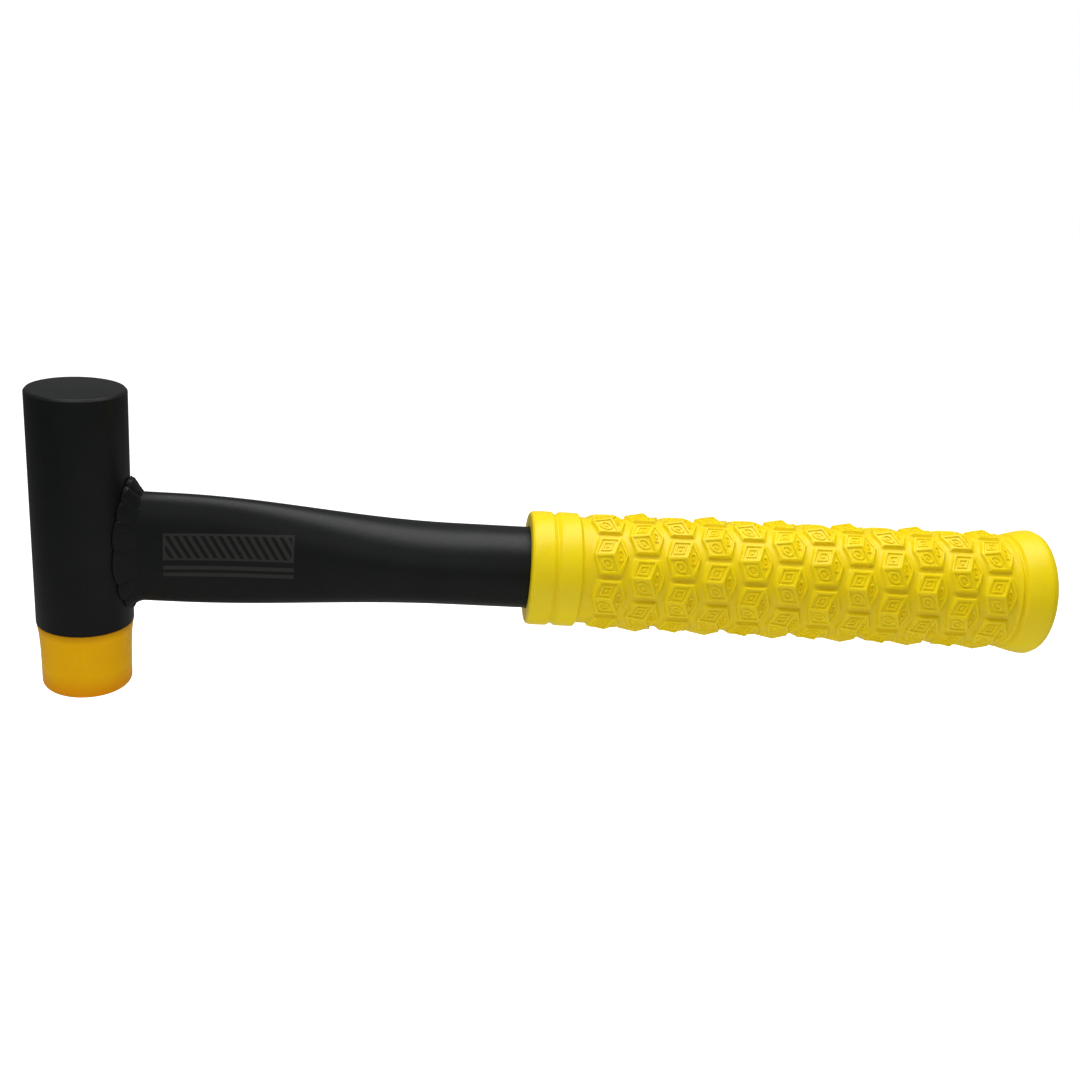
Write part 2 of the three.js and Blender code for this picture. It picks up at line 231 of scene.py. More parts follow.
# ---- colours ----
BLACK_DEEP = (0.0038, 0.0049, 0.0045)
BLACK_PALE = (0.0062, 0.0076, 0.0069)
BLACK_RUBBED = (0.010, 0.011, 0.011)
ETCHED_GREY = (0.036, 0.034, 0.031)
ZINC_DARK = (0.46, 0.46, 0.45)
ZINC_PALE = (0.62, 0.63, 0.64)
AMBER_DEEP = (0.96, 0.485, 0.0)
AMBER_PALE = (1.0, 0.53, 0.0)
AMBER_LOW = (0.80, 0.23, 0.0)
# painted shade for the band of the tip just under the head's edge
AMBER_SHADE_AT_JOINT = (0.60, 0.25, 0.0)
YELLOW_DEEP = (0.88, 0.665, 0.0)
YELLOW_PALE = (0.93, 0.725, 0.0)
# painted shade on the valley floor between the bosses
YELLOW_VALLEY_SHADE = (0.87, 0.65, 0.0)
YELLOW_DIRTY = (0.62, 0.47, 0.0)

# ---- floor: a pool of light painted into its colour, fading away from its middle ----
FLOOR_Z = -14.6 * MM
FLOOR_HALF = 6.0
FLOOR_MIRROR_LOSS = 0.6
FLOOR_GLOW = 0.92
POOL_X = 0.19
POOL_Y = -0.13
POOL_STRETCH = 1.15
POOL_REACH = (0.08, 0.38)
POOL_SHADES = ((0.0, 0.98), (0.5, 0.70), (1.0, 0.34))

# ---- light ----
ROOM_LIGHT = 0.27
ROOM_MIRROR_LOSS = 0.07
LIT_POINT = (0.15, 0, HANDLE_Z)
# Soft boxes: name, (width, depth), watts and place.
SOFT_BOXES = (
    ("overhead_box", (1.1, 0.58), 8.6, (0.12, 0.05, 0.85)),
    ("front_box", (0.9, 0.5), 0.85, (-0.1, -0.95, 0.5)),
)

# ---- camera: its place, and its angles turned about Z, raised and rolled ----
CAMERA_PLACE = Vector((96.3 * MM, -359.4 * MM, 165.6 * MM + JOINT_Z))
CAMERA_AZIMUTH = math.radians(-6.65)
CAMERA_ELEVATION = math.radians(20.08)
CAMERA_ROLL = math.radians(5.26)
CAMERA_LENS = 41.27
CAMERA_SENSOR = 36
CAMERA_NEAREST = 0.01


# ==== Small tools for node trees ====
class Value:
    """A node's result in its tree. Each +, -, * or / on it adds a Math node."""

    def __init__(self, tree, socket):
        self.tree = tree
        self.socket = socket

    def __add__(self, other):
        return maths("ADD", self, other)

    def __sub__(self, other):
        return maths("SUBTRACT", self, other)

    def __rsub__(self, other):
        return maths("SUBTRACT", other, self)

    def __mul__(self, other):
        return maths("MULTIPLY", self, other)

    def __truediv__(self, other):
        return maths("DIVIDE", self, other)

    def __rtruediv__(self, other):
        return maths("DIVIDE", other, self)


def wire(tree, node, wires):
    """Gives a node's inputs, by name or number, a Value each or a plain value."""
    for key, value in wires.items():
        if isinstance(value, Value):
            tree.links.new(value.socket, node.inputs[key])
        else:
            node.inputs[key].default_value = value


def add_node(tree, kind, wires=None, **settings):
    """Adds a node, makes its settings and wires up its inputs."""
    node = tree.nodes.new(kind)
    for key, value in settings.items():
        setattr(node, key, value)
    wire(tree, node, wires or {})
    return node


def result(tree, kind, wires=None, output=0, **settings):
    """One output of a new node."""
    return Value(tree, add_node(tree, kind, wires, **settings).outputs[output])


def maths(operation, *values):
    """A Math node's result."""
    tree = next(value.tree for value in values if isinstance(value, Value))
    return result(tree, "ShaderNodeMath", dict(enumerate(values)), operation=operation)


def spread(value, across, onto):
    """A value carried from one (low, high) range onto another, held at the ends."""
    wires = {0: value, 1: across[0], 2: across[1], 3: onto[0], 4: onto[1]}
    return result(value.tree, "ShaderNodeMapRange", wires)


def length_of(x, y):
    """The length of (x, y)."""
    return maths("SQRT", x * x + y * y)


def parts(vector):
    """The x, y and z of a vector."""
    node = add_node(vector.tree, "ShaderNodeSeparateXYZ", {0: vector})
    return [Value(vector.tree, socket) for socket in node.outputs]


def joined(tree, x, y, z):
    """The vector (x, y, z)."""
    return result(tree, "ShaderNodeCombineXYZ", {0: x, 1: y, 2: z})


def scaled(vector, scale):
    """A vector times a number."""
    wires = {0: vector, "Scale": scale}
    return result(vector.tree, "ShaderNodeVectorMath", wires, operation="SCALE")


def noise(place, size, detail=3.0, roughness=0.5):
    """Noise whose blobs are about the given size, in metres."""
    wires = {"Vector": place, "Scale": 1 / size, "Detail": detail, "Roughness": roughness}
    return result(place.tree, "ShaderNodeTexNoise", wires, "Fac")


def new_tree(name, sizes):
    """A geometry tree and its inputs by name: the geometry, each size and the finish.
    The sizes given are what those inputs hold when nothing else is said."""
    tree = bpy.data.node_groups.new(name, "GeometryNodeTree")
    for way in ("INPUT", "OUTPUT"):
        tree.interface.new_socket("Geometry", in_out=way, socket_type="NodeSocketGeometry")
    for key, value in sizes.items():
        kind = "NodeSocketInt" if isinstance(value, int) else "NodeSocketFloat"
        tree.interface.new_socket(key, in_out="INPUT", socket_type=kind).default_value = value
    tree.interface.new_socket("Finish", in_out="INPUT", socket_type="NodeSocketMaterial")
    sockets = add_node(tree, "NodeGroupInput").outputs
    return tree, {socket.name: Value(tree, socket) for socket in sockets if socket.name}


def moved(geometry, **wires):
    """A geometry with its points moved by an Offset or to a Position."""
    return result(geometry.tree, "GeometryNodeSetPosition", {"Geometry": geometry, **wires})


def close_tree(geometry, finish):
    """Ends a geometry tree: real meshes only, in their material."""
    tree = geometry.tree
    real = result(tree, "GeometryNodeRealizeInstances", {0: geometry})
    dressed = result(tree, "GeometryNodeSetMaterial", {"Geometry": real, "Material": finish})
    add_node(tree, "NodeGroupOutput", {0: dressed})


def grown(mesh_object, tree, sizes, name):
    """Runs a tree on an object and returns the result as a plain object of its own."""
    modifier = mesh_object.modifiers.new(tree.name, "NODES")
    modifier.node_group = tree
    for item in tree.interface.items_tree:
        if item.in_out == "INPUT" and item.name in sizes:
            modifier[item.identifier] = sizes[item.name]
    graph = bpy.context.evaluated_depsgraph_get()
    mesh = bpy.data.meshes.new_from_object(mesh_object.evaluated_get(graph))
    mesh_object.modifiers.remove(modifier)
    bpy.data.objects.remove(mesh_object)
    return placed(mesh, name)


# ==== Small tools for meshes ====
def placed(data, name):
    """Puts a mesh, light or camera in the scene as an object at the origin."""
    data.name = name
    piece = bpy.data.objects.new(name, data)
    bpy.context.scene.collection.objects.link(piece)
    return piece


def mesh_from(points, faces, name):
    """A mesh from an array of points and a list of faces."""
    mesh = bpy.data.meshes.new(name)
    mesh.from_pydata([tuple(p) for p in points], [], [tuple(f) for f in faces])
    mesh.update()
    return mesh


def skin(points, faces, name, merge=1e-7):
    """A closed skin as a piece: doubled points merged and every face turned outwards."""
    mesh = mesh_from(points, faces, name)
    work = bmesh.new()
    work.from_mesh(mesh)
    bmesh.ops.remove_doubles(work, verts=work.verts, dist=merge)
    bmesh.ops.recalc_face_normals(work, faces=work.faces)
    work.to_mesh(mesh)
    work.free()
    return placed(mesh, name)


def smooth(piece, degrees):
    """Smooth shading, with edges sharper than the given angle kept crisp."""
    mesh = piece.data
    mesh.polygons.foreach_set("use_smooth", [True] * len(mesh.polygons))
    mesh.set_sharp_from_angle(angle=math.radians(degrees))
    mesh.update()


def unit(vector):
    """A vector brought to length 1."""
    return vector / np.linalg.norm(vector)


def band(low, high, count):
    """Faces between two closed rings of points, given by the number of each ring's first."""
    faces = []
    for k in range(count):
        following = (k + 1) % count
        faces.append((low + k, low + following, high + following, high + k))
    return faces


def fan(low, count, middle):
    """Faces between a closed ring of points and one point in its middle."""
    return [(low + k, low + (k + 1) % count, middle) for k in range(count)]


def millimetres(*corners):
    """Profile corners written in millimetres, turned into metres."""
    return [tuple(size * MM for size in corner) for corner in corners]


def rounded(corners, steps=5):
    """A profile from (radius, height, rounding) corners, each rounded corner drawn as an arc."""
    points = []
    for i, (radius, height, rounding) in enumerate(corners):
        here = np.array([radius, height])
        if rounding <= 0 or i in (0, len(corners) - 1):
            points.append(here)
            continue
        before = unit(np.array(corners[i - 1][:2]) - here)
        after = unit(np.array(corners[i + 1][:2]) - here)
        half = math.acos(float(np.clip(before @ after, -1, 1))) / 2
        reach = rounding / math.tan(half)
        middle = unit(before + after)
        centre = here + middle * rounding / math.sin(half)
        start = here + before * reach - centre
        end = here + after * reach - centre
        turn = math.atan2(start[0] * end[1] - start[1] * end[0], float(start @ end))
        for k in range(steps + 1):
            angle = turn * k / steps
            c, s = math.cos(angle), math.sin(angle)
            points.append(centre + np.array([c * start[0] - s * start[1], s * start[0] + c * start[1]]))
    return points


def turned(profile, segments, name, shape=None):
    """Turns a profile of (radius, height) points about Z into a closed skin, poles included.
    A shape gives each point's radius from its profile radius and its angle."""
    points = []
    rows = []
    for radius, height in profile:
        if radius < 1e-9:
            rows.append([len(points)] * segments)
            points.append((0.0, 0.0, height))
            continue
        rows.append(list(range(len(points), len(points) + segments)))
        for k in range(segments):
            angle = 2 * math.pi * k / segments
            reach = shape(radius, angle) if shape else radius
            points.append((reach * math.cos(angle), reach * math.sin(angle), height))
    faces = []
    for low, high in zip(rows, rows[1:]):
        for k in range(segments):
            following = (k + 1) % segments
            corners = list(dict.fromkeys([low[k], low[following], high[following], high[k]]))
            if len(corners) > 2:
                faces.append(corners)
    return skin(points, faces, name)


def finely(profile, radius, step):
    """The profile with its straight stretches at one radius cut into short steps."""
    points = [profile[0]]
    for before, after in zip(profile, profile[1:]):
        at_wall = abs(before[0] - radius) < 1e-7 and abs(after[0] - radius) < 1e-7
        count = max(1, round(abs(after[1] - before[1]) / step)) if at_wall else 1
        for k in range(1, count + 1):
            points.append(np.asarray(before) + (np.asarray(after) - before) * k / count)
    return points


def finish_piece(piece, degrees, body, node, material=None):
    """Smooths a piece, gives it a material when one is given, hangs it on its body and hides the
    frame's part that it stands for.
    """
    smooth(piece, degrees)
    if material is not None:
        piece.data.materials.clear()
        piece.data.materials.append(material)
    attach(piece, body)
    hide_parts(node)


# ==== Finishes ====
def new_material(name):
    """A material with a Principled shader, and its object coordinates."""
    material = bpy.data.materials.new(name)
    material.use_nodes = True
    tree = material.node_tree
    tree.nodes.clear()
    shader = result(tree, "ShaderNodeBsdfPrincipled")
    add_node(tree, "ShaderNodeOutputMaterial", {"Surface": shader})
    return material, result(tree, "ShaderNodeTexCoord", output="Object")


def shade(material, wires):
    """Wires up a material's Principled shader."""
    tree = material.node_tree
    wire(tree, tree.nodes["Principled BSDF"], wires)


def ramp(factor, *stops):
    """A colour ramp from (position, colour) stops. A single number stands for a grey."""
    node = add_node(factor.tree, "ShaderNodeValToRGB", {"Fac": factor})
    elements = node.color_ramp.elements
    while len(elements) < len(stops):
        elements.new(0.5)
    for element, (position, colour) in zip(elements, stops):
        if isinstance(colour, (int, float)):
            colour = (colour, colour, colour)
        element.position = position
        element.color = (*colour, 1)
    return Value(factor.tree, node.outputs["Color"])


def mixed(factor, first, second, blend="MIX"):
    """Two colours mixed by a factor. The second may be a plain (red, green, blue)."""
    if not isinstance(second, Value):
        second = (*second, 1)
    wires = {0: factor, 6: first, 7: second}
    return result(first.tree, "ShaderNodeMix", wires, 2, data_type="RGBA", blend_type=blend)


def bumps(height, depth, before=None):
    """A bump of the given depth in metres, laid over an earlier one."""
    wires = {"Height": height, "Strength": 1.0, "Distance": depth}
    if before is not None:
        wires["Normal"] = before
    return result(height.tree, "ShaderNodeBump", wires)


def ray_is(tree, kind):
    """1 for light rays of the kind named, and 0 for the rest."""
    return result(tree, "ShaderNodeLightPath", output=f"Is {kind} Ray")


def black_coating(name, etched=False):
    """Satin black coating on steel: fine powder texture, faint cloudiness and small rubs."""
    material, place = new_material(name)
    cloud = noise(place, 14 * MM, 4.0)
    speck = noise(place, 0.55 * MM, 2.0)
    rubbed = spread(noise(place, 3.0 * MM, 8.0, 0.65), (0.62, 0.78), (0.0, 0.35))
    colour = ramp(cloud, (0.3, BLACK_DEEP), (0.75, BLACK_PALE))
    colour = mixed(rubbed, colour, BLACK_RUBBED)
    rough = spread(speck, (0.25, 0.75), (0.36, 0.47)) - rubbed * 0.22
    if etched:
        grain = spread(noise(place, 0.25 * MM, 2.0), (0.3, 0.7), (0.55, 1.0))
        mask = etched_panel(place) * grain
        colour = mixed(mask, colour, ETCHED_GREY)
        rough = rough + mask * 0.12
    orange_peel = noise(place, 4 * MM, 2.0)
    shade(material, {
        "Base Color": colour,
        "Roughness": rough,
        "Specular IOR Level": 0.24,
        "Normal": bumps(orange_peel, 0.05 * MM, bumps(speck, 0.018 * MM)),
    })
    return material


def inside_band(value, half):
    """1 where a value lies within a half width of zero."""
    return maths("LESS_THAN", maths("ABSOLUTE", value), half)


def etched_panel(place):
    """1 in a plain framed hatch with two plain lines under it, on the near flat of the tube."""
    x, y, z = parts(place)
    along = x - ETCH_X
    above = z - ETCH_Z - along * ETCH_TILT
    length = inside_band(along, ETCH_HALF_LENGTH)
    block = length * inside_band(above, ETCH_HALF_HEIGHT)
    core = inside_band(along, ETCH_HALF_LENGTH - ETCH_LINE)
    core = core * inside_band(above, ETCH_HALF_HEIGHT - ETCH_LINE)
    slant = along + above * ETCH_SLANT
    stripe = maths("LESS_THAN", maths("FRACT", slant / ETCH_STRIPE), ETCH_STRIPE_SHARE)
    mask = block - core * (1.0 - stripe)
    for drop in ETCH_RULES:
        mask = mask + inside_band(above + drop, ETCH_RULE_HALF) * length
    return mask * maths("LESS_THAN", y, 0.0)


def plated_steel(name):
    """Zinc-plated steel with fine turning marks."""
    material, place = new_material(name)
    stretched = result(place.tree, "ShaderNodeMapping", {0: place, "Scale": (1, 1, 9)})
    fine = noise(stretched, 0.9 * MM, 5.0)
    shade(material, {
        "Base Color": ramp(noise(place, 5 * MM, 4.0), (0.3, ZINC_DARK), (0.8, ZINC_PALE)),
        "Roughness": spread(fine, (0.3, 0.7), (0.24, 0.42)),
        "Metallic": 1.0,
        "Normal": bumps(fine, 0.012 * MM),
    })
    return material


def amber_plastic(name):
    """Cast amber plastic: slightly cloudy, semi-gloss, light passing a little way in.
    It darkens towards the striking face, and painted shade darkens it close to the joint, just under
    the head's edge."""
    material, place = new_material(name)
    cloud = noise(place, 9 * MM, 3.0)
    scuff = noise(place, 1.1 * MM, 6.0, 0.6)
    height = parts(place)[2]
    low = spread(height, (0.0, 7.5 * MM), (1.0, 0.0))
    # painted shade: a darker band just under the head's edge
    joint = spread(height, (JOINT_Z - 2.6 * MM, JOINT_Z), (0.0, 0.85))
    colour = ramp(cloud, (0.3, AMBER_DEEP), (0.75, AMBER_PALE))
    colour = mixed(low * 0.8, colour, AMBER_LOW)
    colour = mixed(joint, colour, AMBER_SHADE_AT_JOINT)
    swirl = noise(place, 9 * MM, 1.0)
    shade(material, {
        "Base Color": colour,
        "Roughness": spread(scuff, (0.35, 0.7), (0.24, 0.38)),
        "Subsurface Weight": 0.3,
        "Subsurface Radius": (1.0, 0.55, 0.12),
        "Subsurface Scale": 3.5 * MM,
        "Specular IOR Level": 0.08,
        "Normal": bumps(swirl, 0.05 * MM, bumps(scuff, 0.002 * MM)),
    })
    return material


def valley_shade_mask(place):
    """1 on the valley floor between the bosses, 0 on the bosses and the plain rings: a mask for painted
    shade in the valleys.
    """
    x, y, z = parts(place)
    radius = length_of(y, z - HANDLE_Z)
    floor_radius = spread(x, (FIELD_START_X, FIELD_END_X), (FIELD_START_RADIUS, FIELD_END_RADIUS))
    return spread(radius - floor_radius, (0.15 * MM, 0.9 * MM), (1.0, 0.0))


def yellow_rubber(name):
    """Moulded yellow rubber: satin, with a fine spark-eroded grain and slight unevenness. Painted shade
    darkens the valley floor between the bosses.
    """
    material, place = new_material(name)
    cloud = noise(place, 18 * MM, 3.0)
    grain = noise(place, 0.3 * MM, 2.0)
    dirt = spread(noise(place, 2.2 * MM, 6.0, 0.6), (0.58, 0.75), (0.0, 0.12))
    colour = ramp(cloud, (0.3, YELLOW_DEEP), (0.75, YELLOW_PALE))
    # painted shade: the valley floor between the bosses is coloured a little darker
    colour = mixed(valley_shade_mask(place), colour, YELLOW_VALLEY_SHADE)
    colour = mixed(dirt, colour, YELLOW_DIRTY)
    uneven = noise(place, 1.6 * MM, 3.0)
    shade(material, {
        "Base Color": colour,
        "Roughness": spread(grain, (0.3, 0.7), (0.34, 0.44)),
        "Subsurface Weight": 0.12,
        "Subsurface Radius": (1.0, 0.7, 0.1),
        "Subsurface Scale": 1.2 * MM,
        "Specular IOR Level": 0.29,
        "Normal": bumps(uneven, 0.05 * MM, bumps(grain, 0.015 * MM)),
    })
    return material


def grey_plastic(name):
    """Matt grey moulded plastic."""
    material, place = new_material(name)
    grain = noise(place, 0.5 * MM, 3.0)
    shade(material, {
        "Base Color": ramp(noise(place, 6 * MM, 3.0), (0.3, 0.075), (0.7, 0.11)),
        "Roughness": spread(grain, (0.3, 0.7), (0.5, 0.65)),
        "Normal": bumps(grain, 0.02 * MM),
    })
    return material


def pale_floor(name):
    """Pale paper floor: white to the eye, and a dimmer bounce for the light. Its colour is a painted
    pool of light, brightest near the hammer and fading away from it.
    """
    material, place = new_material(name)
    tree = place.tree
    x, y, _ = parts(place)
    away = length_of((x - POOL_X) / POOL_STRETCH, y - POOL_Y)
    # painted pool of light: the floor's colour is brightest near the hammer and darker away from it
    pool = ramp(spread(away, POOL_REACH, (0.0, 1.0)), *POOL_SHADES)
    fibre = ramp(noise(place, 4 * MM, 4.0), (0.2, 0.96), (0.8, 1.0))
    paper = mixed(1.0, pool, fibre, "MULTIPLY")
    paper = mixed(ray_is(tree, "Glossy") * FLOOR_MIRROR_LOSS, paper, (0.0, 0.0, 0.0))
    shade(material, {"Base Color": paper, "Roughness": 0.9, "Specular IOR Level": 0.1})
    glow = result(tree, "ShaderNodeEmission", {"Strength": ray_is(tree, "Camera") * FLOOR_GLOW})
    surface = Value(tree, tree.nodes["Principled BSDF"].outputs[0])
    both = result(tree, "ShaderNodeAddShader", {0: surface, 1: glow})
    wire(tree, tree.nodes["Material Output"], {"Surface": both})
    return material


# ==== Thread, cut by a rule on both the stud and its socket ====
def thread_tree():
    """Cuts a helical groove into the round wall at a given radius, faded out at its ends.
    A positive depth cuts towards the axis, as on a stud, and a negative one away from it."""
    tree, given = new_tree("helical_thread", {
        "Pitch": THREAD_PITCH,
        "Depth": THREAD_DEPTH,
        "Wall Radius": STUD_RADIUS,
        "From Z": 0.0,
        "To Z": 1.0,
    })
    x, y, z = parts(result(tree, "GeometryNodeInputPosition"))
    radius = length_of(x, y)
    turn = maths("ARCTAN2", y, x) / (2 * math.pi)
    phase = maths("FRACT", z / given["Pitch"] - turn)
    flank = maths("ABSOLUTE", phase * 2.0 - 1.0)
    groove = spread(flank, THREAD_FLANK, (0.0, 1.0))
    on_wall = inside_band(radius - given["Wall Radius"], THREAD_WALL_REACH)
    rise = (z - given["From Z"]) / given["Pitch"]
    fall = (given["To Z"] - z) / given["Pitch"]
    ends = result(tree, "ShaderNodeClamp", {0: maths("MINIMUM", rise, fall)})
    share = groove * on_wall * ends * (given["Depth"] / radius)
    inward = scaled(scaled(joined(tree, x, y, 0.0), share), -1.0)
    close_tree(moved(given["Geometry"], Offset=inward), given["Finish"])
    return tree


# ==== Head ====
def steel_head(thread, finish):
    """Steel bar with crisp turned edges, a washer seat and a tapped socket below."""
    socket_radius = STUD_RADIUS + SOCKET_CLEARANCE
    seat_radius = washer_high.y + SEAT_CLEARANCE
    socket_top = JOINT_Z + SOCKET_DEPTH
    seat_z = JOINT_Z + SEAT_DEPTH
    profile = rounded([
        (0, socket_top + DRILL_POINT, 0),
        (socket_radius, socket_top, 0),
        (socket_radius, seat_z, 0),
        (seat_radius, seat_z, 0.3 * MM),
        (seat_radius, JOINT_Z, 0.25 * MM),
        (HEAD_RADIUS, JOINT_Z, 0.3 * MM),
        (HEAD_RADIUS, HEAD_TOP_Z - FACE_CHAMFER_DROP, 0.35 * MM),
        (HEAD_RADIUS - FACE_CHAMFER_WIDTH, HEAD_TOP_Z, 0.3 * MM),
        (0, HEAD_TOP_Z, 0),
    ])
    blank = turned(finely(profile, socket_radius, SOCKET_STEP), ROUND_SEGMENTS, "steel_head")
    sizes = {
        "Depth": -THREAD_DEPTH * SOCKET_THREAD_SHARE,
        "Wall Radius": socket_radius,
        "From Z": seat_z - THREAD_PITCH / 2,
        "To Z": socket_top - 2 * THREAD_PITCH,
        "Finish": finish,
    }
    piece = grown(blank, thread, sizes, "steel_head")
    finish_piece(piece, 40, "head_and_handle", "head_body")


# ==== Handle tube ====
def flattening(x):
    """1 where the tube is fully flattened, 0 where it is still round."""
    along = min(1, max(0, (x - OVAL_TO_X) / (ROUND_FROM_X - OVAL_TO_X)))
    return 0.5 + 0.5 * math.cos(math.pi * along)


def signed_power(value, power):
    """A power that keeps the value's sign."""
    return math.copysign(abs(value) ** power, value)


def tube_point(x, angle, grow=0.0):
    """(y, z) on the tube's section at x, grown outwards."""
    flat = flattening(x)
    half_height = TUBE_RADIUS + (OVAL_HALF_HEIGHT - TUBE_RADIUS) * flat + grow
    half_width = TUBE_RADIUS + (OVAL_HALF_WIDTH - TUBE_RADIUS) * flat + grow
    power = 2 / (2 + (OVAL_POWER - 2) * flat)
    y = half_width * signed_power(math.cos(angle), power)
    z = half_height * signed_power(math.sin(angle), power)
    return y, z + HANDLE_Z + OVAL_LIFT * flat


def on_head(y, clearance=0.0):
    """The x at which the head's round surface stands, at a given y."""
    return math.sqrt((HEAD_RADIUS + clearance) ** 2 - y * y)


def handle_tube(finish):
    """Tube pressed oval towards the head, coped to the bar and open at the butt end."""
    stations = list(OVAL_STATIONS)
    for k in range(TUBE_BENDS + 1):
        stations.append(OVAL_TO_X + (ROUND_FROM_X - OVAL_TO_X) * k / TUBE_BENDS)
    stations += [GRIP_START_X + UNDER_GRIP, TUBE_END_X - TUBE_LIP]
    # Rows of (x, grow), out along the outside and back along the bore. None is the cope.
    rows = [(x, 0.0) for x in [None] + stations]
    rows += [(TUBE_END_X, -TUBE_LIP), (TUBE_END_X, -TUBE_WALL + TUBE_LIP)]
    rows += [(x, -TUBE_WALL) for x in stations[::-1] + [None]]
    points = []
    faces = []
    for row, (x, grow) in enumerate(rows):
        for k in range(ROUND_SEGMENTS):
            angle = 2 * math.pi * k / ROUND_SEGMENTS
            y, z = tube_point(HEAD_RADIUS if x is None else x, angle, grow)
            points.append((on_head(y, COPE_CLEARANCE) if x is None else x, y, z))
        following = (row + 1) % len(rows)
        faces += band(row * ROUND_SEGMENTS, following * ROUND_SEGMENTS, ROUND_SEGMENTS)
    piece = skin(points, faces, "handle_shell")
    finish_piece(piece, 40, "head_and_handle", "handle_tube", finish)


# ==== Weld ====
def ripple_tree():
    """Raises a welded bead's crescent ripples and unevenness along its normals."""
    tree, given = new_tree("weld_ripples", RIPPLE_SIZES)
    run, across, crown = [
        result(tree, "GeometryNodeInputNamedAttribute", {"Name": name}, data_type="FLOAT")
        for name in ("run", "across", "crown")
    ]
    off_middle = across - 0.5
    bow = off_middle * off_middle * RIPPLE_BOW
    wander = noise(result(tree, "GeometryNodeInputPosition"), RIPPLE_WANDER, 2.0)
    phase = maths("FRACT", run / given["Ripple Pitch"] + bow + wander * RIPPLE_DRIFT)
    lap = maths("SINE", maths("POWER", phase, RIPPLE_LEAN) * math.pi) * given["Ripple Height"]
    lumps = (wander - 0.5) * given["Unevenness"]
    outwards = scaled(result(tree, "GeometryNodeInputNormal"), (lap + lumps) * crown)
    close_tree(moved(given["Geometry"], Offset=outwards), given["Finish"])
    return tree


def weld_lap(degrees):
    """(share of the way through its lap, height of the lap) at an angle round the tube."""
    if degrees >= WELD_LAPS[-1][0]:
        degrees -= 360
    for (start, height), (end, _) in zip(WELD_LAPS, WELD_LAPS[1:]):
        if start <= degrees < end:
            return (degrees - start) / (end - start), height
    return 0.0, WELD_LAPS[0][1]


def weld_leg(leg, scallop, top, bottom):
    """The length of one of the weld's legs at a place round the tube."""
    plain, by_lap, by_top, by_bottom = leg
    return (plain + by_lap * scallop + by_top * top + by_bottom * bottom) * MM


def weld_section(k):
    """The bead's section at one step round the tube: lip, face and, last, the root."""
    angle = 2 * math.pi * k / WELD_ROUND_STEPS
    top = max(0, math.sin(angle)) ** WELD_TOP_POWER
    bottom = max(0, -math.sin(angle)) ** WELD_TOP_POWER
    share, height = weld_lap(360 * k / WELD_ROUND_STEPS)
    scallop = math.sin(math.pi * share) ** WELD_LAP_POWER if 0 < share < 1 else 0.0
    y, z = tube_point(HEAD_RADIUS, angle, weld_leg(WELD_HEAD_LEG, scallop, top, bottom))
    head_toe = np.array([on_head(y), y, z])
    off_head = np.array([head_toe[0], head_toe[1], 0.0]) / HEAD_RADIUS
    y, z = tube_point(HEAD_RADIUS, angle, -WELD_BURIED)
    root = np.array([on_head(y), y, z])
    away = unit(head_toe - root)
    toe_x = root[0] + weld_leg(WELD_TUBE_LEG, scallop, top, bottom)
    y, z = tube_point(toe_x, angle, -WELD_BURIED)
    tube_toe = np.array([toe_x, y, z])
    strip = [head_toe + (away * out + off_head * up) * MM for out, up in WELD_LIP]
    lip = strip.pop()
    flat_middle = (lip + tube_toe) / 2
    outwards = unit(flat_middle - root)
    plain, by_top, by_bottom = WELD_SAG
    belly = flat_middle + (root - flat_middle) * (plain + by_top * top + by_bottom * bottom)
    plain, fresh = WELD_SWELL
    lump = (plain + fresh * (1 - share) * scallop) * height * MM
    for j in range(WELD_ACROSS_STEPS + 1):
        t = j / WELD_ACROSS_STEPS
        point = (1 - t) ** 2 * lip + 2 * t * (1 - t) * belly + t * t * tube_toe
        swell = min(1, t / WELD_SWELL_START) * (1 - t) ** WELD_SWELL_POWER
        strip.append(point + outwards * lump * swell)
    return strip + [root]


def weld_bead(ripples, finish):
    """Fillet of weld round the coped joint, in laps: full above and wide down the sides."""
    sections = [weld_section(k) for k in range(WELD_ROUND_STEPS)]
    runs = [0.0]
    for before, after in zip(sections, sections[1:]):
        runs.append(runs[-1] + float(np.linalg.norm(after[-1] - before[-1])))
    lead = len(WELD_LIP) - 1
    count = len(sections[0])
    faces = []
    stored = {"run": [], "across": [], "crown": []}
    for k in range(WELD_ROUND_STEPS):
        faces += band(k * count, (k + 1) % WELD_ROUND_STEPS * count, count)
        for j in range(count):
            t = min(1, max(0, (j - lead) / WELD_ACROSS_STEPS))
            stored["run"].append(runs[k])
            stored["across"].append(t)
            stored["crown"].append(abs(math.sin(math.pi * t)) ** WELD_CROWN_POWER)
    blank = skin([point for section in sections for point in section], faces, "weld_blank")
    for name, values in stored.items():
        blank.data.attributes.new(name, "FLOAT", "POINT").data.foreach_set("value", values)
    # The pitch is adjusted a little so that whole ripples close the round.
    ripple_count = round(runs[-1] / RIPPLE_SIZES["Ripple Pitch"])
    sizes = {"Ripple Pitch": runs[-1] / ripple_count, "Finish": finish}
    piece = grown(blank, ripples, sizes, "weld_bead_run")
    finish_piece(piece, 60, "head_and_handle", "weld_bead")


# ==== Soft tip, stud and washer ====
def hexagon_reach(half_flats, angle):
    """Radius of a hexagon with the given half width across flats."""
    sixth = math.pi / 3
    return half_flats / math.cos((angle + sixth / 2) % sixth - sixth / 2)


